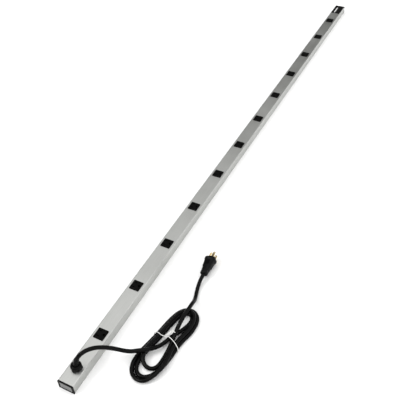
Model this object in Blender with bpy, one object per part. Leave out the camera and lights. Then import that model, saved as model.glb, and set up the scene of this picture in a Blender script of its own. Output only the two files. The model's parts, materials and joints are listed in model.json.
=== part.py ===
"""Rack power strip: a six-foot metal strip of twelve grounded outlets with a folded supply cord.

Metres, +Z up. X runs along the strip from the cord's end to the far end, the outlets face +Z, and
the cord lies on the -Y side. The origin is the centre of the strip's back face.
"""

import math

import bmesh
import bpy
import numpy as np
from mathutils import Vector

GAP = 0.0003  # clearance between pieces that touch

# Housing
LENGTH = 1.8288
WIDTH = 0.036
HEIGHT = 0.025
WALL = 0.0015
EDGE_RADIUS = 0.0015
CAP_PLATE = 0.003
CAP_LIP = 0.0005
CAP_PLUG = 0.008
RIM = 0.004
LEDGE = 0.0015
BACK_THICK = 0.0016
LINER_THICK = 0.0006

# Outlets
OUTLETS = 12
PITCH = 0.14224
FIRST_OUTLET = -LENGTH / 2 + 0.127
FACE_X = 0.0254
FACE_Y = 0.024
FACE_PROUD = 0.0025
FLANGE_MARGIN = 0.0026
OUTLET_BOTTOM = 0.0085
SLOT_SPACING = 0.0127
GROUND_OFFSET = 0.0119
SLOT_ROW_Y = 0.0046
SLOT_WIDE = 0.002
LINE_SLOT = 0.0064
NEUTRAL_SLOT = 0.008
GROUND_RADIUS = 0.00265

# Busbars
BUS_WIDE = 0.0032
BUS_THICK = 0.0012
BUS_Z = 0.004
CONTACT_TOP = 0.020
CONTACT_LEAF = 0.0005
BUS_MARGIN = 0.0186

# Cord gland and cord
GLAND_X = -0.874
NECK_RADIUS = 0.008
HEX_RADIUS = 0.0128  # centre to corner
CORD = 0.009
BOOT_LENGTH = 0.024
END_STEP = 0.001
HANK_HEIGHT = 0.026
WIRE = 0.0028

# Plug
PLUG_REAR = Vector((-0.5440, -0.1184, 0.0145))
PLUG_ROLL = math.radians(-17)
PLUG_TURN = math.radians(5)
PLUG_LENGTH = 0.050
PLUG_HALF_HEIGHT = 0.0125
BLADE_WIDE = 0.0063
BLADE_THICK = 0.0015
BLADE_LENGTH = 0.0175
PIN_RADIUS = 0.0024
PIN_LENGTH = 0.0205

TOP_INSIDE = HEIGHT - WALL
HALF_INSIDE = WIDTH / 2 - WALL
HOUSING_END = LENGTH / 2 - CAP_PLATE
LEAD_ROUTE = [  # out of the gland, over in one arc and down to the folded cord
    (-0.8740, 0.0000, 0.0305),
    (-0.8732, -0.0006, 0.0420),
    (-0.8690, -0.0038, 0.0555),
    (-0.8600, -0.0107, 0.0652),
    (-0.8480, -0.0199, 0.0678),
    (-0.8360, -0.0290, 0.0632),
    (-0.8240, -0.0382, 0.0528),
    (-0.8128, -0.0480, 0.0404),
    (-0.8046, -0.0578, 0.0302),
    (-0.7985, -0.0684, 0.0238),
    (-0.7932, -0.0790, 0.0216),
]
TAIL_ROUTE = [  # from the folded cord along the floor to the plug
    (-0.6312, -0.1346, 0.0190),
    (-0.6190, -0.1325, 0.0112),
    (-0.6060, -0.1290, 0.0058),
    (-0.5920, -0.1245, 0.0046),
    (-0.5780, -0.1206, 0.0060),
    (-0.5645, -0.1185, 0.0103),
    (-0.5540, -0.1183, 0.0136),
    (-0.5446, -0.1184, 0.0145),
]
HANK_OUTLINE = [
    (-0.823, -0.088),
    (-0.839, -0.112),
    (-0.836, -0.139),
    (-0.811, -0.151),
    (-0.771, -0.158),
    (-0.736, -0.158),
    (-0.697, -0.168),
    (-0.656, -0.166),
    (-0.635, -0.146),
    (-0.641, -0.119),
    (-0.682, -0.101),
    (-0.746, -0.090),
    (-0.800, -0.082),
]


def clear_scene():
    for item in list(bpy.data.objects):
        bpy.data.objects.remove(item, do_unlink=True)


def material(name, colour, roughness, metallic=0.0):
    made = bpy.data.materials.new(name)
    made.use_nodes = True
    shader = made.node_tree.nodes["Principled BSDF"]
    shader.inputs["Base Color"].default_value = (*colour, 1.0)
    shader.inputs["Roughness"].default_value = roughness
    shader.inputs["Metallic"].default_value = metallic
    return made


def add_object(name, data, finish, smooth=False):
    made = bpy.data.objects.new(name, data)
    bpy.context.collection.objects.link(made)
    if not data.materials:
        data.materials.append(finish)
    if smooth:
        data.shade_smooth()
        data.set_sharp_from_angle(angle=math.radians(35))
    return made


def mesh_from(build):
    """A mesh whose geometry build(bm) makes, with its faces pointing out."""
    bm = bmesh.new()
    build(bm)
    bmesh.ops.recalc_face_normals(bm, faces=bm.faces)
    data = bpy.data.meshes.new("solid")
    bm.to_mesh(data)
    bm.free()
    return data


def add_box(bm, low, high):
    corners = [bm.verts.new((x, y, z)) for z in (low[2], high[2]) for x, y in (
        (low[0], low[1]), (high[0], low[1]), (high[0], high[1]), (low[0], high[1]))]
    add_skin(bm, [corners[:4], corners[4:]])


def add_skin(bm, rings):
    """Joins rings of vertices one after another and closes both ends."""
    count = len(rings[0])
    for one, two in zip(rings, rings[1:]):
        for i in range(count):
            j = (i + 1) % count
            bm.faces.new((one[i], one[j], two[j], two[i]))
    bm.faces.new(rings[0][::-1])
    bm.faces.new(rings[-1])


def rounded_rectangle(half_x, half_y, radius, steps=2):
    points = []
    for corner in range(4):
        side_x = 1 if corner in (0, 3) else -1
        side_y = 1 if corner in (0, 1) else -1
        for i in range(steps + 1):
            angle = math.pi / 2 * (corner + i / steps)
            points.append((
                side_x * (half_x - radius) + radius * math.cos(angle),
                side_y * (half_y - radius) + radius * math.sin(angle)))
    return points


def circle(radius, sides):
    return [(radius * math.cos(2 * math.pi * i / sides), radius * math.sin(2 * math.pi * i / sides))
            for i in range(sides)]


def upright(bm, outlines, centre=(0.0, 0.0)):
    """A solid through (height, outline) pairs, each outline a list of (x, y)."""
    add_skin(bm, [[bm.verts.new((centre[0] + x, centre[1] + y, z)) for x, y in outline]
                  for z, outline in outlines])


def along_x(bm, start, end, outline):
    """A prism from start to end along X, with an outline of (y, z) points."""
    add_skin(bm, [[bm.verts.new((x, y, z)) for y, z in outline] for x in (start, end)])


def turned(bm, profile, centre, sides):
    """A ring turned about Z from a closed profile of (radius, z) points."""
    rings = [[bm.verts.new((centre[0] + r * math.cos(a), centre[1] + r * math.sin(a), z))
              for r, z in profile] for a in (2 * math.pi * i / sides for i in range(sides))]
    for one, two in zip(rings, rings[1:] + rings[:1]):
        for i in range(len(profile)):
            j = (i + 1) % len(profile)
            bm.faces.new((one[i], one[j], two[j], two[i]))


def combined(data, other, operation):
    """The mesh left when another mesh is cut from this one or joined to it."""
    base = add_object("base", data, None)
    tool = add_object("tool", other, None)
    step = base.modifiers.new("combine", "BOOLEAN")
    step.operation = operation
    step.object = tool
    graph = bpy.context.evaluated_depsgraph_get()
    result = bpy.data.meshes.new_from_object(base.evaluated_get(graph))
    for item in (base, tool):
        bpy.data.objects.remove(item, do_unlink=True)
    result.materials.clear()
    return result


def smooth_curve(points, closed=False, per_span=12):
    """Points on a Catmull-Rom curve through the given points."""
    given = [np.array(p, float) for p in points]
    if closed:
        given = [given[-1]] + given + given[:2]
    else:
        given = [2 * given[0] - given[1]] + given + [2 * given[-1] - given[-2]]
    found = []
    for a, b, c, d in zip(given, given[1:], given[2:], given[3:]):
        ab, bc, cd = (math.sqrt(np.linalg.norm(q - p)) for p, q in ((a, b), (b, c), (c, d)))
        leave = (c - b) + bc * ((b - a) / ab - (c - a) / (ab + bc))
        reach = (c - b) + bc * ((d - c) / cd - (d - b) / (bc + cd))
        for i in range(per_span):
            t = i / per_span
            found.append((2 * t**3 - 3 * t**2 + 1) * b + (t**3 - 2 * t**2 + t) * leave
                         + (3 * t**2 - 2 * t**3) * c + (t**3 - t**2) * reach)
    if not closed:
        found.append(given[-2])
    return np.array(found)


def evenly(points, start, end, spacing):
    """Points a set distance apart along a line, with one just inside each end to keep the ends square."""
    travelled = np.concatenate([[0.0], np.cumsum(np.linalg.norm(np.diff(points, axis=0), axis=1))])
    end = travelled[-1] if end is None else end
    stops = np.linspace(start, end, max(2, round((end - start) / spacing) + 1))
    stops = np.concatenate([[start, start + END_STEP], stops[1:-1], [end - END_STEP, end]])
    return np.column_stack([np.interp(stops, travelled, points[:, k]) for k in range(3)])


def tube(name, points, radii, finish, sides_step=3):
    data = bpy.data.curves.new(name, "CURVE")
    data.dimensions = "3D"
    data.bevel_depth = 1.0
    data.bevel_resolution = sides_step
    data.use_fill_caps = True
    data.render_resolution_u = 0
    line = data.splines.new("POLY")
    line.points.add(len(points) - 1)
    for spot, point, radius in zip(line.points, points, radii):
        spot.co = (*point, 1.0)
        spot.radius = radius
    return add_object(name, data, finish)


def outlet_x(index):
    return FIRST_OUTLET + index * PITCH


def make_channel(finish):
    half = WIDTH / 2
    bend = [(half - EDGE_RADIUS * (1 - math.cos(a)), HEIGHT - EDGE_RADIUS * (1 - math.sin(a)))
            for a in (0, math.pi / 4, math.pi / 2)]
    ledge_low = BACK_THICK + GAP
    ledge_high = ledge_low + WALL
    inside = [(HALF_INSIDE, TOP_INSIDE), (HALF_INSIDE, ledge_high), (HALF_INSIDE - LEDGE, ledge_high),
              (HALF_INSIDE - LEDGE, ledge_low), (HALF_INSIDE, ledge_low), (HALF_INSIDE, 0.0)]
    right = [(half, 0.0)] + bend
    outline = right + [(-y, z) for y, z in right[::-1]] + [(-y, z) for y, z in inside[::-1]] + inside

    def openings(bm):
        for index in range(OUTLETS):
            x = outlet_x(index)
            add_box(bm, (x - FACE_X / 2 - GAP, -FACE_Y / 2 - GAP, TOP_INSIDE - WALL),
                    (x + FACE_X / 2 + GAP, FACE_Y / 2 + GAP, HEIGHT + WALL))
        upright(bm, [(z, circle(NECK_RADIUS + GAP, 24)) for z in (TOP_INSIDE - WALL, HEIGHT + WALL)],
                (GLAND_X, 0.0))

    body = mesh_from(lambda bm: along_x(bm, -HOUSING_END, HOUSING_END, outline))
    add_object("housing_channel", combined(body, mesh_from(openings), "DIFFERENCE"), finish, smooth=True)


def make_back(plate_finish, liner_finish):
    half = HALF_INSIDE - GAP
    end = HOUSING_END - GAP
    add_object("back_plate", mesh_from(
        lambda bm: add_box(bm, (-end, -half, 0.0), (end, half, BACK_THICK))), plate_finish)
    liner_half = HALF_INSIDE - LEDGE - GAP
    liner_end = HOUSING_END - CAP_PLUG - 2 * GAP
    base = BACK_THICK + GAP
    add_object("insulating_liner", mesh_from(
        lambda bm: add_box(bm, (-liner_end, -liner_half, base), (liner_end, liner_half, base + LINER_THICK))),
        liner_finish)


def make_end_cap(name, side, cap_finish, panel_finish):
    """A cap whose plug fits the channel, with a flush panel let into its outer face."""
    inner = HOUSING_END + GAP
    outer = LENGTH / 2
    half = WIDTH / 2 + CAP_LIP
    top = HEIGHT + CAP_LIP
    outline = [(y, z) for y, z in (
        (half, 0.0), (half, top - EDGE_RADIUS), (half - EDGE_RADIUS, top),
        (EDGE_RADIUS - half, top), (-half, top - EDGE_RADIUS), (-half, 0.0))]
    low, high = RIM, top - RIM
    recess = 0.0015

    def lengthwise(bm, start, end, width, bottom, ceiling):
        near, far = sorted((side * start, side * end))
        add_box(bm, (near, -width, bottom), (far, width, ceiling))

    plate = mesh_from(lambda bm: along_x(bm, side * inner, side * outer, outline))
    plug = mesh_from(lambda bm: lengthwise(
        bm, HOUSING_END - CAP_PLUG, inner + GAP, HALF_INSIDE - GAP, BACK_THICK + 2 * GAP + WALL,
        TOP_INSIDE - GAP))
    hollow = mesh_from(lambda bm: lengthwise(
        bm, outer - recess, outer + recess, half - RIM, low, high))
    solid = combined(combined(plate, plug, "UNION"), hollow, "DIFFERENCE")
    add_object(name + "_cap", solid, cap_finish)
    panel = mesh_from(lambda bm: lengthwise(
        bm, outer - recess + GAP, outer - GAP, half - RIM - GAP, low + GAP, high - GAP))
    add_object(name + "_panel", panel, panel_finish)


def make_outlets(finish):
    """Grounded outlets, each a block with a flange that sits under the channel's top."""
    face = rounded_rectangle(FACE_X / 2, FACE_Y / 2, 0.0015)
    top_face = rounded_rectangle(FACE_X / 2 - 0.0008, FACE_Y / 2 - 0.0008, 0.0012)
    flange = rounded_rectangle(FACE_X / 2 + FLANGE_MARGIN, FACE_Y / 2 + FLANGE_MARGIN, 0.0015)
    flange_top = TOP_INSIDE - GAP
    flange_low = flange_top - 0.0025
    face_top = HEIGHT + FACE_PROUD
    chamber_top = face_top - 0.0035
    chamber_x = 0.0019
    chamber_y = 0.0045
    ground_y = SLOT_ROW_Y - GROUND_OFFSET

    def block(bm):
        upright(bm, [(OUTLET_BOTTOM, face), (flange_low, face), (flange_low, flange), (flange_top, flange),
                     (flange_top, face), (face_top - 0.0008, face), (face_top, top_face)])

    def slots(bm):
        for x, length in ((SLOT_SPACING / 2, LINE_SLOT), (-SLOT_SPACING / 2, NEUTRAL_SLOT)):
            half = length / 2
            wide = SLOT_WIDE / 2
            throat = [(x - wide, SLOT_ROW_Y - half), (x + wide, SLOT_ROW_Y - half),
                      (x + wide, SLOT_ROW_Y + half), (x - wide, SLOT_ROW_Y + half)]
            chamber = [(x - chamber_x, SLOT_ROW_Y - chamber_y), (x + chamber_x, SLOT_ROW_Y - chamber_y),
                       (x + chamber_x, SLOT_ROW_Y + chamber_y), (x - chamber_x, SLOT_ROW_Y + chamber_y)]
            upright(bm, [(OUTLET_BOTTOM - WALL, chamber), (chamber_top, chamber),
                         (chamber_top, throat), (face_top + WALL, throat)])
        upright(bm, [(z, circle(GROUND_RADIUS, 12)) for z in (OUTLET_BOTTOM - WALL, face_top + WALL)],
                (0.0, ground_y))

    shape = combined(mesh_from(block), mesh_from(slots), "DIFFERENCE")
    for index in range(OUTLETS):
        outlet = add_object(f"outlet_{index + 1:02d}", shape, finish)
        outlet.location.x = outlet_x(index)


def make_bus(name, y, contact_x, leaf_half, leaf_offset, finish):
    """A busbar with a pair of contact leaves that stand up into every outlet."""
    start = outlet_x(0) - BUS_MARGIN
    end = outlet_x(OUTLETS - 1) + BUS_MARGIN
    bar = mesh_from(lambda bm: add_box(
        bm, (start, y - BUS_WIDE / 2, BUS_Z), (end, y + BUS_WIDE / 2, BUS_Z + BUS_THICK)))

    def leaves(bm):
        for index in range(OUTLETS):
            for side in (-1, 1):
                near, far = sorted((side * leaf_offset, side * (leaf_offset + CONTACT_LEAF)))
                x = outlet_x(index) + contact_x
                add_box(bm, (x + near, y - leaf_half, BUS_Z + BUS_THICK / 2),
                        (x + far, y + leaf_half, CONTACT_TOP))

    add_object(name, combined(bar, mesh_from(leaves), "UNION"), finish)


def make_conductors(brass, steel, colours):
    """Three busbars, the three wires that feed them and the earth bonding screw."""
    ground_y = SLOT_ROW_Y - GROUND_OFFSET
    line_y = SLOT_ROW_Y - 0.0022
    neutral_y = SLOT_ROW_Y + 0.0022
    make_bus("line_busbar", line_y, SLOT_SPACING / 2, 0.0014, 0.001, brass)
    make_bus("neutral_busbar", neutral_y, -SLOT_SPACING / 2, 0.0014, 0.001, brass)
    make_bus("ground_busbar", ground_y, 0.0, 0.001, 0.0015, brass)

    bus_start = outlet_x(0) - BUS_MARGIN
    wire_height = BUS_Z + BUS_THICK / 2 + 0.0008
    bundle = 0.0024
    for name, y, degrees in (("line", line_y, -30), ("neutral", neutral_y, 90), ("ground", ground_y, 210)):
        angle = math.radians(degrees)
        x0 = GLAND_X + bundle * math.cos(angle)
        y0 = bundle * math.sin(angle)
        route = [(x0, y0, 0.0290), (x0, y0, 0.0200), (x0 + 0.004, y0 + (y - y0) * 0.15, 0.0120),
                 (x0 + 0.020, y0 + (y - y0) * 0.6, wire_height + 0.0012), (bus_start - 0.016, y, wire_height),
                 (bus_start - GAP, y, wire_height)]
        line = evenly(smooth_curve(route), 0.0, None, 0.006)
        tube(name + "_wire", line, [WIRE / 2] * len(line), colours[name], sides_step=2)

    def screw(bm):
        base = BACK_THICK + 2 * GAP + LINER_THICK
        head = base + 0.0022
        upright(bm, [(base, circle(0.003, 12)), (head - 0.0006, circle(0.003, 12)),
                     (head, circle(0.0022, 12))], (GLAND_X + 0.022, -0.0105))

    add_object("bonding_screw", mesh_from(screw), steel, smooth=True)


def gland_prism(low, high, outline):
    return mesh_from(lambda bm: upright(bm, [(low, outline), (high, outline)], (GLAND_X, 0.0)))


def make_gland(finish):
    """Cord gland: a hex body through the channel's top, a locknut under it and a domed nut over it."""
    bore = 0.0052
    boot_bore = 0.0070
    neck_low = 0.0165
    seat = HEIGHT + GAP
    shoulder = seat + 0.0047
    under = TOP_INSIDE - GAP
    top = 0.0372
    hexagon = circle(HEX_RADIUS, 6)
    neck = circle(NECK_RADIUS, 24)

    body = combined(gland_prism(seat, shoulder, hexagon), gland_prism(neck_low, seat + WALL, neck), "UNION")
    body = combined(body, gland_prism(neck_low - WALL, shoulder + WALL, circle(bore, 24)), "DIFFERENCE")
    add_object("gland_body", body, finish, smooth=True)

    nut_low = under - 0.003
    hole = gland_prism(nut_low - WALL, under + WALL, circle(NECK_RADIUS + GAP, 24))
    add_object("gland_locknut", combined(gland_prism(nut_low, under, hexagon), hole, "DIFFERENCE"), finish,
               smooth=True)

    low = shoulder + GAP
    dome = [(boot_bore, low), (0.0116, low), (0.0116, low + 0.0030), (0.0106, low + 0.0052),
            (0.0086, top - 0.0003), (0.0080, top), (boot_bore, top)]
    add_object("gland_dome_nut", mesh_from(lambda bm: turned(bm, dome, (GLAND_X, 0.0), 24)), finish,
               smooth=True)


def make_cord(finish, tie_finish):
    """The boot, the lead, the folded cord, its tie and the tail that ends at the plug."""
    lead = smooth_curve(LEAD_ROUTE)
    boot = evenly(lead, 0.0, BOOT_LENGTH, 0.004)
    taper = np.linspace(0.0064, 0.0052, len(boot))
    tube("gland_boot", boot, taper, finish, sides_step=4)
    line = evenly(lead, BOOT_LENGTH + 2 * GAP, None, 2.2 * CORD)
    tube("cord_lead", line, [CORD / 2] * len(line), finish)
    tail = evenly(smooth_curve(TAIL_ROUTE), 0.0, None, 2.2 * CORD)
    tube("cord_tail", tail, [CORD / 2] * len(tail), finish)

    outline = [tuple(p) for p in smooth_curve(HANK_OUTLINE, closed=True, per_span=4)]
    add_object("cord_hank", mesh_from(
        lambda bm: upright(bm, [(0.0, outline), (HANK_HEIGHT, outline)])), finish)

    half = 0.0356
    thick = 0.0008
    top = HANK_HEIGHT + GAP
    band = [(-half - thick, 0.0), (-half, 0.0), (-half, top), (half, top), (half, 0.0), (half + thick, 0.0),
            (half + thick, top + thick), (-half - thick, top + thick)]
    tie = add_object("twist_tie", mesh_from(lambda bm: along_x(bm, -0.0025, 0.0025, band)), tie_finish)
    tie.location = (-0.7355, -0.1246, 0.0)
    tie.rotation_euler.z = -math.atan2(0.016, 0.063)


def make_plug(finish, brass):
    """A moulded plug that lies on its side, a little rolled, its two blades one above the other."""
    sections = [  # distance from the rear, half width, half height
        (0.0000, 0.0080, 0.0070),
        (0.0020, 0.0087, 0.0078),
        (0.0140, 0.0092, 0.0080),
        (0.0300, 0.0112, 0.0092),
        (0.0400, 0.0126, 0.0104),
        (0.0430, 0.0138, 0.0120),
        (0.0480, 0.0140, PLUG_HALF_HEIGHT),
        (PLUG_LENGTH, 0.0132, 0.0117),
    ]

    def body(bm):
        rings = []
        for x, half_y, half_z in sections:
            outline = rounded_rectangle(half_y, half_z, min(half_y, half_z) * 0.55, steps=4)
            rings.append([bm.verts.new((x, y, z)) for y, z in outline])
        add_skin(bm, rings)

    blade_y = -0.0045
    start = PLUG_LENGTH + GAP
    pieces = [("plug_body", mesh_from(body), finish)]
    for name, side in (("plug_line_blade", -1), ("plug_neutral_blade", 1)):
        z = side * SLOT_SPACING / 2
        pieces.append((name, mesh_from(lambda bm, z=z: add_box(
            bm, (start, blade_y - BLADE_WIDE / 2, z - BLADE_THICK / 2),
            (start + BLADE_LENGTH, blade_y + BLADE_WIDE / 2, z + BLADE_THICK / 2))), brass))

    def pin(bm):
        rings = []
        for x, scale in ((start, 1.0), (start + PIN_LENGTH - 0.0015, 1.0), (start + PIN_LENGTH, 0.5)):
            rings.append([bm.verts.new((x, blade_y + GROUND_OFFSET + y, z))
                          for y, z in circle(PIN_RADIUS * scale, 12)])
        add_skin(bm, rings)

    pieces.append(("plug_ground_pin", mesh_from(pin), brass))
    for name, data, look in pieces:
        piece = add_object(name, data, look, smooth=name in ("plug_body", "plug_ground_pin"))
        piece.location = PLUG_REAR
        piece.rotation_euler = (PLUG_ROLL, 0.0, PLUG_TURN)


def make_nameplate(finish):
    start, end = 0.847, HOUSING_END - GAP
    half = WIDTH / 2 - EDGE_RADIUS - GAP
    base = HEIGHT + GAP
    add_object("nameplate", mesh_from(
        lambda bm: add_box(bm, (start, -half, base), (end, half, base + 0.0004))), finish)


def main():
    clear_scene()
    aluminium = material("anodised_aluminium", (0.72, 0.73, 0.72), 0.38, 0.9)
    steel = material("zinc_steel", (0.62, 0.62, 0.60), 0.45, 0.9)
    black = material("black_plastic", (0.012, 0.012, 0.012), 0.42)
    rubber = material("black_cord_jacket", (0.010, 0.010, 0.010), 0.5)
    panel = material("panel_grey", (0.55, 0.55, 0.54), 0.4, 0.4)
    brass = material("brass", (0.80, 0.62, 0.30), 0.28, 1.0)
    paper = material("liner_paper", (0.33, 0.30, 0.25), 0.8)
    white = material("white_tie", (0.85, 0.85, 0.83), 0.55)
    wires = {
        "line": material("wire_black", (0.02, 0.02, 0.02), 0.5),
        "neutral": material("wire_white", (0.8, 0.8, 0.78), 0.5),
        "ground": material("wire_green", (0.03, 0.30, 0.09), 0.5),
    }
    make_channel(aluminium)
    make_back(steel, paper)
    make_end_cap("near", -1, black, panel)
    make_end_cap("far", 1, black, panel)
    make_outlets(black)
    make_conductors(brass, steel, wires)
    make_gland(black)
    make_cord(rubber, white)
    make_plug(rubber, brass)
    make_nameplate(black)


main()
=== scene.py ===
"""Looks of the rack power strip: materials, the detailed cord, plug and tie, light and camera.

Metres, in the frame of the CAD model: X along the strip, +Z out of the outlets, the floor at z = 0.
"""

import json
import math

import bmesh
import bpy
import numpy as np
from mathutils import Matrix, Vector


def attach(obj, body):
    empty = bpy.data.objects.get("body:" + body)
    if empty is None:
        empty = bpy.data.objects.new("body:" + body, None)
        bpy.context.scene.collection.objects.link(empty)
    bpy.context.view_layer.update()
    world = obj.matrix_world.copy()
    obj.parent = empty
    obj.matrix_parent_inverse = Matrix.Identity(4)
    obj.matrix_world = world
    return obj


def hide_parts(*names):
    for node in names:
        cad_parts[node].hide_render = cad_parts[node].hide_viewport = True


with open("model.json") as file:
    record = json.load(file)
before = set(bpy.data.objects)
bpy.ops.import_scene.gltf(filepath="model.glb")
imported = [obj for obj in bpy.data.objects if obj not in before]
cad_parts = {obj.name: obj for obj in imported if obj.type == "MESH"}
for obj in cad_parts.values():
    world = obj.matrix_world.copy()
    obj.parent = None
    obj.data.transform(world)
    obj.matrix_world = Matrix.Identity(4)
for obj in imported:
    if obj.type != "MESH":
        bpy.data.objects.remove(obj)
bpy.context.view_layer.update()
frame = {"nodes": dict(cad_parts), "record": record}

# The camera: where it stands, and the directions of its right and its top.
EYE = Vector((-1.2891, -0.5304, 1.0446))
EYE_RIGHT = Vector((0.45176, -0.89136, -0.03737))
EYE_UP = Vector((0.62132, 0.28429, 0.73016))
LENS = 51.6

# Light from each direction, as (height or sideways part of the direction, radiance) pairs.
CEILING = [(0.0, 1.0), (0.10, 1.0), (0.22, 0.03), (0.44, 0.03), (0.50, 0.09), (0.56, 0.29), (0.62, 0.56),
           (0.68, 0.85), (0.76, 1.15), (0.83, 1.35), (0.89, 1.6), (0.94, 2.0), (1.0, 2.0)]
CEILING_PEAK = 2.0
SCREEN_ACROSS = [(0.0, 0.0), (0.22, 0.0), (0.40, 1.2), (1.0, 1.2)]
SCREEN_UP = [(0.0, 0.0), (0.08, 0.0), (0.16, 1.0), (0.55, 1.0), (0.70, 0.0)]
SUN_TOWARDS = (0.50, -0.55, -0.67)
SUN_STRENGTH = 1.1
SUN_SPREAD = math.radians(20)
FLOOR_REACH = 80.0

# Small bevels that catch the light, by the start of the part's name.
EASED_EDGES = {
    "outlet": 0.0003,
    "near_cap": 0.0004,
    "far_cap": 0.0004,
    "gland_body": 0.0005,
    "gland_dome": 0.0005,
}

# The pale bar on the label plate.
BAR_X = (0.852, 0.896)
BAR_Y = (0.0030, 0.0068)
BAR_SOFTNESS = 0.0003

# The cord. Its routes are centrelines.
CORD = 0.009
LOWEST_CORD = CORD / 2 + 0.0001
LOOP_SPACING = 0.001
ROUTE_SPACING = 0.002
POINTS_PER_TURN = 32

LEAD_ROUTE = [  # out of the gland, over in one arc and down to the folded cord
    (-0.8740, 0.0000, 0.0305),
    (-0.8732, -0.0006, 0.0420),
    (-0.8690, -0.0038, 0.0555),
    (-0.8600, -0.0107, 0.0652),
    (-0.8480, -0.0199, 0.0678),
    (-0.8360, -0.0290, 0.0632),
    (-0.8240, -0.0382, 0.0528),
    (-0.8128, -0.0480, 0.0404),
    (-0.8046, -0.0578, 0.0302),
    (-0.7985, -0.0684, 0.0238),
    (-0.7932, -0.0790, 0.0216),
]
CROSSING = [  # over the folded cord and down into it beside the tie
    (-0.7885, -0.0860, 0.0222),
    (-0.7840, -0.0932, 0.0228),
    (-0.7781, -0.1018, 0.0224),
    (-0.7695, -0.1105, 0.0190),
    (-0.7575, -0.1175, 0.0135),
    (-0.7450, -0.1225, 0.0090),
]
INNER = [  # the last half turn, which lies apart inside the others, up to the tie
    (-0.7620, -0.0998, 0.0136),
    (-0.7770, -0.0985, 0.0136),
    (-0.7900, -0.1015, 0.0112),
    (-0.7990, -0.1090, 0.0070),
    (-0.8040, -0.1205, 0.0047),
    (-0.8020, -0.1315, 0.0046),
    (-0.7930, -0.1382, 0.0046),
    (-0.7780, -0.1398, 0.0046),
    (-0.7620, -0.1396, 0.0046),
    (-0.7460, -0.1392, 0.0058),
    (-0.7330, -0.1388, 0.0095),
]
TAIL_START = [  # up through the open loop and over its far end
    (-0.7210, -0.1375, 0.0135),
    (-0.7090, -0.1360, 0.0150),
    (-0.6950, -0.1347, 0.0168),
    (-0.6790, -0.1342, 0.0198),
    (-0.6640, -0.1346, 0.0217),
    (-0.6500, -0.1352, 0.0217),
    (-0.6400, -0.1353, 0.0208),
]
TAIL_ROUTE = [  # from the folded cord along the floor to the plug
    (-0.6312, -0.1346, 0.0190),
    (-0.6190, -0.1325, 0.0112),
    (-0.6060, -0.1290, 0.0058),
    (-0.5920, -0.1245, 0.0046),
    (-0.5780, -0.1206, 0.0060),
    (-0.5645, -0.1185, 0.0103),
    (-0.5540, -0.1183, 0.0136),
    (-0.5446, -0.1184, 0.0145),
]
LOOP = [  # the outermost turn, from the tie round the far end and back
    (-0.7370, -0.1520),
    (-0.7150, -0.1560),
    (-0.6930, -0.1618),
    (-0.6720, -0.1628),
    (-0.6530, -0.1590),
    (-0.6420, -0.1480),
    (-0.6395, -0.1340),
    (-0.6470, -0.1200),
    (-0.6640, -0.1108),
    (-0.6860, -0.1052),
    (-0.7160, -0.1005),
    (-0.7460, -0.0948),
    (-0.7700, -0.0897),
    (-0.7920, -0.0868),
    (-0.8120, -0.0890),
    (-0.8270, -0.0975),
    (-0.8350, -0.1120),
    (-0.8345, -0.1280),
    (-0.8250, -0.1395),
    (-0.8080, -0.1468),
    (-0.7830, -0.1518),
    (-0.7580, -0.1528),
]
LAY = [  # turn, then how far inside the outermost turn and how high, in cord diameters
    (0.02, 2.85, 0.75),
    (0.09, 2.05, 0.55),
    (0.17, 1.30, 0.51),
    (0.25, 1.00, 0.51),
    (0.78, 1.05, 0.51),
    (0.87, 0.42, 0.51),
    (0.99, 0.00, 0.51),
    (1.73, 0.00, 0.51),
    (1.84, 0.00, 1.43),
    (1.88, 0.00, 1.43),
    (1.97, 0.50, 1.43),
    (2.10, 0.55, 1.41),
    (2.25, 0.80, 1.47),
    (2.52, 0.90, 1.50),
]

# The ringed sleeve over the cord at the gland.
BOOT_LENGTH = 0.024
BOOT_REAR = 0.0060
BOOT_TIP = 0.0048
RING_PITCH = 0.0036
RING_HEIGHT = 0.00045
BOOT_LIP = 0.0008

# The plug.
PLUG_REAR = Vector((-0.5440, -0.1184, 0.0145))
PLUG_ROLL = math.radians(-17)
PLUG_TURN = math.radians(5)
PLUG_PLACE = (Matrix.Translation(PLUG_REAR) @ Matrix.Rotation(PLUG_TURN, 4, "Z")
              @ Matrix.Rotation(PLUG_ROLL, 4, "X"))
PLUG_SECTIONS = [  # distance from the rear, half width, half height, squareness
    (0.0000, 0.0066, 0.0062, 2.2),
    (0.0008, 0.0078, 0.0070, 2.4),
    (0.0022, 0.0086, 0.0077, 2.6),
    (0.0060, 0.0088, 0.0079, 2.8),
    (0.0090, 0.0088, 0.0079, 2.8),
    (0.0100, 0.0083, 0.0073, 2.8),
    (0.0112, 0.0083, 0.0073, 2.8),
    (0.0122, 0.0090, 0.0078, 3.0),
    (0.0175, 0.0094, 0.0076, 3.2),
    (0.0205, 0.0098, 0.0078, 3.4),
    (0.0228, 0.0104, 0.0096, 3.6),
    (0.0240, 0.0107, 0.0098, 3.6),
    (0.0290, 0.0112, 0.0094, 3.6),
    (0.0350, 0.0119, 0.0098, 3.6),
    (0.0400, 0.0127, 0.0105, 3.4),
    (0.0418, 0.0131, 0.0109, 3.2),
    (0.0426, 0.0138, 0.0118, 3.2),
    (0.0434, 0.0140, 0.0122, 3.2),
    (0.0480, 0.0140, 0.01245, 3.2),
    (0.0492, 0.0136, 0.0121, 3.2),
    (0.0500, 0.0128, 0.0113, 3.2),
]
RIBS = 4
RIB_START = 0.0270
RIB_PITCH = 0.0034
RIB_HALF_THICK = 0.0009
BLADE_ROOT = 0.0480
PLUG_FACE = 0.0503
BLADE_Y = -0.0045
BLADE_SPACING = 0.0127
BLADE_HALF_WIDE = 0.00315
BLADE_HALF_THICK = 0.00075
BLADE_LENGTH = 0.0175
BLADE_HOLE = 0.0017
PIN_OFFSET = 0.0119
PIN_RADIUS = 0.0024
PIN_LENGTH = 0.0205

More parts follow.
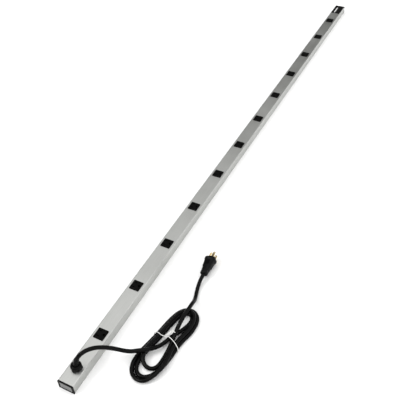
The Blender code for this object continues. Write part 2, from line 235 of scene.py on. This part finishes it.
# The twist tie.
TIE_BAND = [  # from under the far band of cord, over it, down between the bands and over the near one
    (-0.7270, -0.0932, 0.0012),
    (-0.7270, -0.0924, 0.0050),
    (-0.7272, -0.0945, 0.0112),
    (-0.7278, -0.1000, 0.0178),
    (-0.7286, -0.1060, 0.0192),
    (-0.7292, -0.1120, 0.0160),
    (-0.7280, -0.1225, 0.0155),
    (-0.7290, -0.1300, 0.0210),
    (-0.7325, -0.1395, 0.0222),
    (-0.7375, -0.1500, 0.0212),
    (-0.7420, -0.1582, 0.0150),
    (-0.7430, -0.1592, 0.0070),
    (-0.7425, -0.1580, 0.0012),
    (-0.7400, -0.1500, 0.0009),
    (-0.7330, -0.1240, 0.0009),
    (-0.7280, -0.1000, 0.0009),
]
TIE_RADIUS = 0.0008
LOWEST_TIE = 0.0009
KNOT_START = Vector((-0.7275, -0.1215, 0.0165))
KNOT_STEPS = 60
KNOT_TURNS = 2.5
KNOT_OPENS = 0.72


# ---------------------------------------------------------------- helpers

def smooth_curve(points, closed=False, per_span=12):
    """Points on a Catmull-Rom curve through the given points."""
    given = [np.array(p, float) for p in points]
    if closed:
        given = [given[-1]] + given + given[:2]
    else:
        given = [2 * given[0] - given[1]] + given + [2 * given[-1] - given[-2]]
    found = []
    for a, b, c, d in zip(given, given[1:], given[2:], given[3:]):
        ab, bc, cd = (math.sqrt(np.linalg.norm(q - p)) for p, q in ((a, b), (b, c), (c, d)))
        leave = (c - b) + bc * ((b - a) / ab - (c - a) / (ab + bc))
        reach = (c - b) + bc * ((d - c) / cd - (d - b) / (bc + cd))
        for i in range(per_span):
            t = i / per_span
            found.append((2 * t**3 - 3 * t**2 + 1) * b + (t**3 - 2 * t**2 + t) * leave
                         + (3 * t**2 - 2 * t**3) * c + (t**3 - t**2) * reach)
    if not closed:
        found.append(given[-2])
    return np.array(found)


def travelled(points):
    """How far along a line each of its points is."""
    return np.concatenate([[0.0], np.cumsum(np.linalg.norm(np.diff(points, axis=0), axis=1))])


def resampled(points, spacing):
    """The same line with evenly spaced points."""
    along = travelled(points)
    stops = np.linspace(0.0, along[-1], round(along[-1] / spacing) + 1)
    return np.column_stack([np.interp(stops, along, points[:, k]) for k in range(points.shape[1])])


def relaxed(points, reach, passes):
    """Evens out a line's curvature: each point moves towards the mean of its neighbours."""
    line = points.copy()
    for _ in range(passes):
        line[reach:-reach] = (line[:-2 * reach] + 2 * line[reach:-reach] + line[2 * reach:]) / 4
    return line


def eased(at, places, values):
    """The value at a place: between two given places it changes slowly at first and at the end."""
    i = int(np.clip(np.searchsorted(places, at, side="right") - 1, 0, len(places) - 2))
    t = float(np.clip((at - places[i]) / (places[i + 1] - places[i]), 0.0, 1.0))
    t = t * t * (3 - 2 * t)
    return float(values[i] * (1 - t) + values[i + 1] * t)


def circle(radius, sides):
    angles = [2 * math.pi * k / sides for k in range(sides)]
    return [(radius * math.cos(angle), radius * math.sin(angle)) for angle in angles]


def link_object(name, data):
    made = bpy.data.objects.new(name, data)
    bpy.context.scene.collection.objects.link(made)
    return made


def add_mesh(name, bm, finish, smooth_angle):
    data = bpy.data.meshes.new(name)
    bmesh.ops.recalc_face_normals(bm, faces=bm.faces)
    bm.to_mesh(data)
    bm.free()
    data.materials.append(finish)
    data.shade_smooth()
    data.set_sharp_from_angle(angle=math.radians(smooth_angle))
    return link_object(name, data)


def skin(bm, rings):
    """Walls between rings of vertices, and a cap on each end."""
    count = len(rings[0])
    for one, two in zip(rings, rings[1:]):
        for i in range(count):
            j = (i + 1) % count
            bm.faces.new((one[i], one[j], two[j], two[i]))
    bm.faces.new(rings[0][::-1])
    bm.faces.new(rings[-1])


def tube_along(bm, points, radii, sides):
    """A closed tube that follows a line, with a radius for each point."""
    rings = []
    side = None
    for i, point in enumerate(points):
        ahead = Vector(points[min(i + 1, len(points) - 1)]) - Vector(points[max(i - 1, 0)])
        ahead.normalize()
        if side is None:
            side = ahead.orthogonal().normalized()
        side = (side - ahead * side.dot(ahead)).normalized()
        other_side = ahead.cross(side)
        centre = Vector(point)
        rings.append([bm.verts.new(centre + float(radii[i]) * (a * side + b * other_side))
                      for a, b in circle(1.0, sides)])
    skin(bm, rings)


def curve_tube(name, points, radius, finish, roundness):
    """A curve of one open spline with a round section."""
    data = bpy.data.curves.new(name, "CURVE")
    data.dimensions = "3D"
    data.bevel_depth = radius
    data.bevel_resolution = roundness
    data.use_fill_caps = True
    line = data.splines.new("POLY")
    line.points.add(len(points) - 1)
    for spot, point in zip(line.points, points):
        spot.co = (*point, 1.0)
    data.materials.append(finish)
    return link_object(name, data)


# ---------------------------------------------------------------- materials

class Nodes:
    """A material's node tree, with short ways to add and link nodes."""

    def __init__(self, name):
        self.material = bpy.data.materials.new(name)
        self.material.use_nodes = True
        self.tree = self.material.node_tree
        self.shader = self.tree.nodes["Principled BSDF"]
        self.place = self.add("ShaderNodeTexCoord").outputs["Object"]

    def add(self, kind, **settings):
        node = self.tree.nodes.new(kind)
        for key, value in settings.items():
            setattr(node, key, value)
        return node

    def link(self, source, target):
        self.tree.links.new(source, target)

    def stretched(self, scale):
        mapping = self.add("ShaderNodeMapping")
        mapping.inputs["Scale"].default_value = scale
        self.link(self.place, mapping.inputs["Vector"])
        return mapping.outputs["Vector"]

    def noise(self, scale, detail=4.0, rough=0.55, stretch=None):
        node = self.add("ShaderNodeTexNoise")
        node.inputs["Scale"].default_value = scale
        node.inputs["Detail"].default_value = detail
        node.inputs["Roughness"].default_value = rough
        self.link(self.stretched(stretch) if stretch else self.place, node.inputs["Vector"])
        return node.outputs["Fac"]

    def ranged(self, value, low, high, start=0.3, end=0.7):
        node = self.add("ShaderNodeMapRange")
        node.inputs["From Min"].default_value = start
        node.inputs["From Max"].default_value = end
        node.inputs["To Min"].default_value = low
        node.inputs["To Max"].default_value = high
        self.link(value, node.inputs["Value"])
        return node.outputs["Result"]

    def blend(self, amount, one, two):
        node = self.add("ShaderNodeMix", data_type="RGBA")
        for socket, colour in ((node.inputs["A"], one), (node.inputs["B"], two)):
            if isinstance(colour, tuple):
                socket.default_value = (*colour, 1.0)
            else:
                self.link(colour, socket)
        self.link(amount, node.inputs["Factor"])
        return node.outputs["Result"]

    def math(self, operation, one, two):
        node = self.add("ShaderNodeMath", operation=operation)
        for socket, value in zip(node.inputs, (one, two)):
            if isinstance(value, float):
                socket.default_value = value
            else:
                self.link(value, socket)
        return node.outputs["Value"]

    def bump(self, height, strength, distance):
        node = self.add("ShaderNodeBump")
        node.inputs["Strength"].default_value = strength
        node.inputs["Distance"].default_value = distance
        self.link(height, node.inputs["Height"])
        self.link(node.outputs["Normal"], self.shader.inputs["Normal"])

    def set(self, **values):
        for key, value in values.items():
            self.shader.inputs[key.replace("_", " ")].default_value = value


def metal(name, light, dark, smooth, rough, grain_stretch):
    """Anodised or plated metal: fine drawn grain along one direction over a soft, cloudy tone."""
    m = Nodes(name)
    grain = m.noise(900.0, 3.0, 0.6, grain_stretch)
    cloud = m.noise(14.0, 3.0, 0.5)
    tone = m.math("ADD", m.math("MULTIPLY", grain, 0.5), m.math("MULTIPLY", cloud, 0.5))
    m.link(m.blend(m.ranged(tone, 0.0, 1.0), dark, light), m.shader.inputs["Base Color"])
    m.link(m.ranged(tone, smooth, rough), m.shader.inputs["Roughness"])
    m.set(Metallic=1.0)
    m.bump(grain, 0.04, 0.00002)
    return m.material


def moulded(name, colour, worn, smooth, rough, texture=2600.0, shine=0.5):
    """Moulded plastic, rubber or board: a fine matt texture with slightly lighter, duller worn patches."""
    m = Nodes(name)
    fine = m.noise(texture, 2.0, 0.6)
    patch = m.noise(45.0, 4.0, 0.6)
    m.link(m.blend(m.ranged(patch, 0.0, 1.0, 0.45, 0.75), colour, worn), m.shader.inputs["Base Color"])
    m.link(m.ranged(patch, smooth, rough), m.shader.inputs["Roughness"])
    m.set(Specular_IOR_Level=shine)
    m.bump(fine, 0.25, 0.00003)
    return m.material


def label_film():
    """A black printed film with one pale bar along it."""
    m = Nodes("label_film")
    split = m.add("ShaderNodeSeparateXYZ")
    m.link(m.place, split.inputs["Vector"])

    def within(value, low, high):
        rise = m.ranged(value, 0.0, 1.0, low - BAR_SOFTNESS, low + BAR_SOFTNESS)
        fall = m.ranged(value, 1.0, 0.0, high - BAR_SOFTNESS, high + BAR_SOFTNESS)
        return m.math("MULTIPLY", rise, fall)

    bar = m.math("MULTIPLY", within(split.outputs["X"], *BAR_X), within(split.outputs["Y"], *BAR_Y))
    ink = m.noise(900.0, 2.0)
    black = m.blend(m.ranged(ink, 0.0, 1.0), (0.003, 0.003, 0.003), (0.006, 0.006, 0.006))
    m.link(m.blend(bar, black, (0.62, 0.62, 0.62)), m.shader.inputs["Base Color"])
    m.link(m.ranged(ink, 0.5, 0.62), m.shader.inputs["Roughness"])
    m.set(Specular_IOR_Level=0.05)
    m.bump(m.noise(1800.0, 2.0), 0.1, 0.00002)
    return m.material


def cord_jacket():
    """Extruded jacket: satin, with the faint lay of the cores under it and small scuffs."""
    m = Nodes("cord_jacket")
    fine = m.noise(3200.0, 2.0, 0.6)
    swell = m.noise(120.0, 2.0, 0.5)
    scuff = m.noise(60.0, 5.0, 0.65)
    m.link(m.blend(m.ranged(scuff, 0.0, 1.0, 0.5, 0.8), (0.002, 0.002, 0.002), (0.005, 0.005, 0.005)),
           m.shader.inputs["Base Color"])
    m.link(m.ranged(scuff, 0.2, 0.3), m.shader.inputs["Roughness"])
    m.set(Specular_IOR_Level=0.08)
    m.bump(m.math("ADD", m.math("MULTIPLY", fine, 0.3), swell), 0.2, 0.0001)
    return m.material


def floor_white():
    m = Nodes("floor_white")
    cloud = m.noise(3.0, 3.0, 0.5)
    m.link(m.blend(m.ranged(cloud, 0.0, 1.0), (0.93, 0.93, 0.925), (0.95, 0.95, 0.95)),
           m.shader.inputs["Base Color"])
    m.set(Roughness=0.9, Specular_IOR_Level=0.1)
    return m.material


ALUMINIUM = metal("anodised_aluminium", (0.52, 0.525, 0.51), (0.44, 0.445, 0.43), 0.32, 0.42,
                  (0.03, 1.0, 1.0))
STEEL = metal("zinc_steel", (0.66, 0.66, 0.64), (0.50, 0.50, 0.49), 0.35, 0.5, (0.05, 1.0, 1.0))
PANEL = metal("panel_grey", (0.26, 0.26, 0.26), (0.18, 0.18, 0.18), 0.32, 0.45, (1.0, 0.03, 1.0))
BRASS = metal("contact_brass", (0.90, 0.72, 0.38), (0.78, 0.58, 0.26), 0.16, 0.3, (0.05, 1.0, 1.0))
PLUG_BLACK = moulded("plug_rubber", (0.0022, 0.0022, 0.0022), (0.005, 0.005, 0.005), 0.26, 0.36, 2200.0,
                     shine=0.09)
TIE_WHITE = moulded("tie_white", (0.80, 0.80, 0.78), (0.88, 0.88, 0.86), 0.45, 0.6, 1500.0)
JACKET = cord_jacket()

FINISHES = {
    "housing_metal": ALUMINIUM,
    "back_metal": STEEL,
    "panel_metal": PANEL,
    "black_plastic": moulded("black_plastic", (0.0022, 0.0022, 0.0020), (0.004, 0.004, 0.004), 0.38, 0.5,
                             shine=0.04),
    "gland_plastic": moulded("gland_plastic", (0.0022, 0.0022, 0.0022), (0.005, 0.005, 0.005), 0.28, 0.4,
                             shine=0.07),
    "label_black": label_film(),
    "cord_jacket": JACKET,
    "contact_brass": BRASS,
    "screw_steel": STEEL,
    "liner_board": moulded("liner_board", (0.33, 0.30, 0.25), (0.38, 0.35, 0.29), 0.7, 0.85, 1200.0),
    "wire_black": moulded("wire_black", (0.015, 0.015, 0.015), (0.02, 0.02, 0.02), 0.25, 0.4),
    "wire_white": moulded("wire_white", (0.78, 0.78, 0.76), (0.82, 0.82, 0.80), 0.25, 0.4),
    "wire_green": moulded("wire_green", (0.03, 0.28, 0.09), (0.04, 0.33, 0.11), 0.25, 0.4),
    "tie_white": TIE_WHITE,
}


def ease_edges(node, width):
    sharp = math.radians(35)
    bevel = node.modifiers.new("eased_edges", "BEVEL")
    bevel.width = width
    bevel.segments = 2
    bevel.limit_method = "ANGLE"
    bevel.angle_limit = sharp
    bevel.harden_normals = True
    node.data.shade_smooth()
    node.data.set_sharp_from_angle(angle=sharp)


def finish_parts():
    """Gives every CAD part its material, and eases the edges of the moulded ones."""
    for part in frame["record"]["subparts"]:
        node = frame["nodes"][part["node"]]
        node.data.materials.clear()
        node.data.materials.append(FINISHES[part["material_slot"]])
        for start, width in EASED_EDGES.items():
            if part["node"].startswith(start):
                ease_edges(node, width)


# ---------------------------------------------------------------- camera, light and floor

def set_camera():
    data = bpy.data.cameras.new("camera")
    data.lens = LENS
    camera = bpy.data.objects.new("camera", data)
    bpy.context.scene.collection.objects.link(camera)
    back = EYE_RIGHT.cross(EYE_UP).normalized()
    up = back.cross(EYE_RIGHT).normalized()
    right = up.cross(back).normalized()
    turn = Matrix((right, up, back)).transposed()
    camera.matrix_world = Matrix.Translation(EYE) @ turn.to_4x4()
    bpy.context.scene.camera = camera


def set_world():
    """A bright ceiling that fades to a dark surround, with a long pale screen low on the -Y side."""
    world = bpy.data.worlds.new("studio")
    bpy.context.scene.world = world
    world.use_nodes = True
    tree = world.node_tree
    place = tree.nodes.new("ShaderNodeTexCoord")
    split = tree.nodes.new("ShaderNodeSeparateXYZ")
    tree.links.new(place.outputs["Generated"], split.inputs["Vector"])

    def ramp(direction, stops, peak):
        node = tree.nodes.new("ShaderNodeValToRGB")
        tree.links.new(direction, node.inputs["Fac"])
        node.color_ramp.elements[0].position = stops[0][0]
        node.color_ramp.elements[1].position = stops[-1][0]
        for position, _ in stops[1:-1]:
            node.color_ramp.elements.new(position)
        for element, (_, value) in zip(node.color_ramp.elements, stops):
            level = value / peak
            element.color = (level, level, level * (0.94 + 0.06 * min(1.0, value)), 1.0)
        return node.outputs["Color"]

    def joined(operation, one, two):
        node = tree.nodes.new("ShaderNodeMix")
        node.data_type = "RGBA"
        node.blend_type = operation
        node.inputs["Factor"].default_value = 1.0
        tree.links.new(one, node.inputs["A"])
        tree.links.new(two, node.inputs["B"])
        return node.outputs["Result"]

    turned = tree.nodes.new("ShaderNodeMath")
    turned.operation = "MULTIPLY"
    turned.inputs[1].default_value = -1.0
    tree.links.new(split.outputs["Y"], turned.inputs[0])
    ceiling = ramp(split.outputs["Z"], CEILING, CEILING_PEAK)
    screen = joined("MULTIPLY", ramp(turned.outputs["Value"], SCREEN_ACROSS, CEILING_PEAK),
                    ramp(split.outputs["Z"], SCREEN_UP, 1.0))
    tree.links.new(joined("ADD", ceiling, screen), tree.nodes["Background"].inputs["Color"])
    tree.nodes["Background"].inputs["Strength"].default_value = CEILING_PEAK


def add_sun():
    data = bpy.data.lights.new("key", "SUN")
    data.energy = SUN_STRENGTH
    data.angle = SUN_SPREAD
    sun = bpy.data.objects.new("key", data)
    sun.rotation_mode = "QUATERNION"
    sun.rotation_quaternion = Vector(SUN_TOWARDS).to_track_quat("-Z", "Y")
    bpy.context.scene.collection.objects.link(sun)


def add_floor():
    bm = bmesh.new()
    bm.faces.new([bm.verts.new((x * FLOOR_REACH, y * FLOOR_REACH, 0.0))
                  for x, y in ((-1, -1), (1, -1), (1, 1), (-1, 1))])
    data = bpy.data.meshes.new("floor")
    bm.to_mesh(data)
    bm.free()
    data.materials.append(floor_white())
    floor = bpy.data.objects.new("floor", data)
    bpy.context.scene.collection.objects.link(floor)


# ---------------------------------------------------------------- cord

def hank_turns():
    """The folded turns: each point of the outermost loop moves inwards and up as LAY says."""
    loop = resampled(smooth_curve(LOOP + LOOP[:1]), LOOP_SPACING)
    along = travelled(loop)
    whole = along[-1]
    look = 3 * LOOP_SPACING
    keys = np.array(LAY)

    def on_loop(place):
        return [np.interp(place % whole, along, loop[:, k]) for k in (0, 1)]

    points = []
    for turn in np.arange(LAY[0][0], LAY[-1][0], 1.0 / POINTS_PER_TURN):
        place = (turn % 1.0) * whole
        x, y = on_loop(place)
        ahead = on_loop(place + look)
        behind = on_loop(place - look)
        step = Vector((ahead[0] - behind[0], ahead[1] - behind[1])).normalized()
        inset, height = (CORD * eased(turn, keys[:, 0], keys[:, k]) for k in (1, 2))
        points.append((x - step.y * inset, y + step.x * inset, max(height, LOWEST_CORD)))
    return points


def whole_route():
    """The cord's centreline, from inside its boot to the back of the plug."""
    rough = LEAD_ROUTE + CROSSING + hank_turns() + INNER + TAIL_START + TAIL_ROUTE
    line = relaxed(resampled(smooth_curve(rough), ROUTE_SPACING), reach=2, passes=6)
    line[:, 2] = np.maximum(line[:, 2], LOWEST_CORD)
    return line


def make_boot(route):
    """The moulded sleeve over the first stretch of the cord: a taper with raised rings."""
    along = travelled(route)
    stops = np.linspace(0.0, BOOT_LENGTH, 81)
    centres = [[np.interp(stop, along, route[:, k]) for k in range(3)] for stop in stops]
    radii = []
    for stop in stops:
        taper = BOOT_REAR + (BOOT_TIP - BOOT_REAR) * stop / BOOT_LENGTH
        ring = RING_HEIGHT * abs(math.sin(math.pi * stop / RING_PITCH))
        lip = min(1.0, (BOOT_LENGTH - stop) / BOOT_LIP)
        radii.append(taper + ring * lip - 0.0003 * (1 - lip))
    bm = bmesh.new()
    tube_along(bm, centres, radii, 28)
    boot = add_mesh("gland_boot_sleeve", bm, JACKET, 60.0)
    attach(boot, "root")
    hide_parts("gland_boot")
    return boot


def make_cord(route):
    cord = curve_tube("supply_cord", route, CORD / 2, JACKET, 5)
    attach(cord, "root")
    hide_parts("cord_lead", "cord_hank", "cord_tail")
    return cord


# ---------------------------------------------------------------- plug

def in_plug(bm, x, y, z):
    """A vertex given by its distance from the plug's rear and its place across the plug."""
    return bm.verts.new(PLUG_PLACE @ Vector((x, y, z)))


def rounded_outline(half_y, half_z, power, sides=40):
    """A rounded rectangle as a superellipse."""
    points = []
    for k in range(sides):
        angle = 2 * math.pi * (k + 0.5) / sides
        c, s = math.cos(angle), math.sin(angle)
        points.append((half_y * math.copysign(abs(c) ** (2 / power), c),
                       half_z * math.copysign(abs(s) ** (2 / power), s)))
    return points


def make_plug_shell():
    """The moulded plug without its ribs: a flared front flange, a waisted grip and a stepped collar."""
    bm = bmesh.new()
    skin(bm, [[in_plug(bm, x, y, z) for y, z in rounded_outline(half_y, half_z, power)]
              for x, half_y, half_z, power in PLUG_SECTIONS])
    shell = add_mesh("plug_shell", bm, PLUG_BLACK, 50.0)
    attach(shell, "root")
    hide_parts("plug_body")
    return shell


def make_grips():
    """Raised finger ribs on the plug's two broad sides."""
    bm = bmesh.new()
    for side in (-1, 1):
        for k in range(RIBS):
            x = RIB_START + RIB_PITCH * k
            half_z = 0.0094 + 0.0003 * k
            half_y = 0.0048 + 0.0004 * k
            rings = []
            for lift, grow in ((-0.0010, 1.0), (0.0003, 1.0), (0.0007, 0.6)):
                half_x = RIB_HALF_THICK * grow
                rings.append([in_plug(bm, x + px * half_x, py * half_y * (0.9 + 0.1 * grow),
                                      side * (half_z + lift))
                              for px, py in ((-1, -1), (1, -1), (1, 1), (-1, 1))])
            skin(bm, rings)
    grips = add_mesh("plug_grip_ribs", bm, PLUG_BLACK, 30.0)
    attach(grips, "root")
    return grips


def make_blade(name, z, node):
    """A flat blade with a rounded tip and a hole near it."""
    tip = PLUG_FACE + BLADE_LENGTH
    half_outline = [(BLADE_ROOT, BLADE_HALF_WIDE), (tip - 0.0012, BLADE_HALF_WIDE),
                    (tip - 0.0004, BLADE_HALF_WIDE - 0.0005), (tip, BLADE_HALF_WIDE - 0.0013)]
    outline = [(x, -y) for x, y in half_outline] + half_outline[::-1]
    hole = [(tip - 0.0036 + x, y) for x, y in circle(BLADE_HOLE, 20)]
    bm = bmesh.new()
    faces = []
    for side in (-1, 1):
        rings = [[in_plug(bm, x, BLADE_Y + y, z + side * BLADE_HALF_THICK) for x, y in ring]
                 for ring in (outline, hole)]
        edges = [bm.edges.new((ring[i], ring[(i + 1) % len(ring)])) for ring in rings
                 for i in range(len(ring))]
        bmesh.ops.triangle_fill(bm, edges=edges, use_beauty=True, use_dissolve=False)
        faces.append(rings)
    for one, two in zip(*faces):
        for i in range(len(one)):
            j = (i + 1) % len(one)
            bm.faces.new((one[i], one[j], two[j], two[i]))
    blade = add_mesh(name, bm, BRASS, 30.0)
    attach(blade, "root")
    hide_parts(node)
    return blade


def make_ground_pin():
    """A round pin whose tip narrows in steps."""
    tip = PLUG_FACE + PIN_LENGTH
    profile = [(BLADE_ROOT, 1.0), (tip - 0.0030, 1.0), (tip - 0.0016, 0.93), (tip - 0.0006, 0.72), (tip, 0.4)]
    bm = bmesh.new()
    skin(bm, [[in_plug(bm, x, BLADE_Y + PIN_OFFSET + y, z) for y, z in circle(PIN_RADIUS * scale, 24)]
              for x, scale in profile])
    pin = add_mesh("plug_earth_pin", bm, BRASS, 35.0)
    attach(pin, "root")
    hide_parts("plug_ground_pin")
    return pin


def make_plug():
    return [
        make_plug_shell(),
        make_grips(),
        make_blade("plug_blade_low", -BLADE_SPACING / 2, "plug_line_blade"),
        make_blade("plug_blade_high", BLADE_SPACING / 2, "plug_neutral_blade"),
        make_ground_pin(),
    ]


# ---------------------------------------------------------------- twist tie

def knot_end(number):
    """One of the tie's two ends: they wind round each other and open out at the tip."""
    points = []
    for i in range(KNOT_STEPS + 1):
        t = i / KNOT_STEPS
        angle = 2 * math.pi * KNOT_TURNS * t + math.pi * number
        apart = 0.0011 + 0.0030 * max(0.0, t - KNOT_OPENS) / (1 - KNOT_OPENS)
        centre = KNOT_START + Vector((0.0150 * t, -0.0100 * t - 0.002 * t * t,
                                      0.0050 * math.sin(math.pi * t * 0.6)))
        points.append((centre.x + apart * 0.55 * math.cos(angle), centre.y + apart * math.cos(angle),
                       centre.z + apart * math.sin(angle) * 0.8))
    return points


def make_tie():
    """A coated wire round the two bands of cord, with its two ends twisted together in the middle."""
    band = resampled(smooth_curve(TIE_BAND, closed=True), LOOP_SPACING)
    band[:, 2] = np.maximum(band[:, 2], LOWEST_TIE)
    made = [curve_tube("tie_band", np.vstack([band, band[:2]]), TIE_RADIUS, TIE_WHITE, 3)]
    for number in (0, 1):
        made.append(curve_tube(f"tie_end_{number + 1}", knot_end(number), TIE_RADIUS, TIE_WHITE,
                               3))
    for piece in made:
        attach(piece, "root")
    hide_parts("twist_tie")
    return made


# ---------------------------------------------------------------- the scene

finish_parts()
set_camera()
set_world()
add_sun()
add_floor()
bpy.context.scene.view_settings.view_transform = "Standard"

route = whole_route()
cord = make_cord(route)
boot = make_boot(route)
plug_pieces = make_plug()
tie_pieces = make_tie()
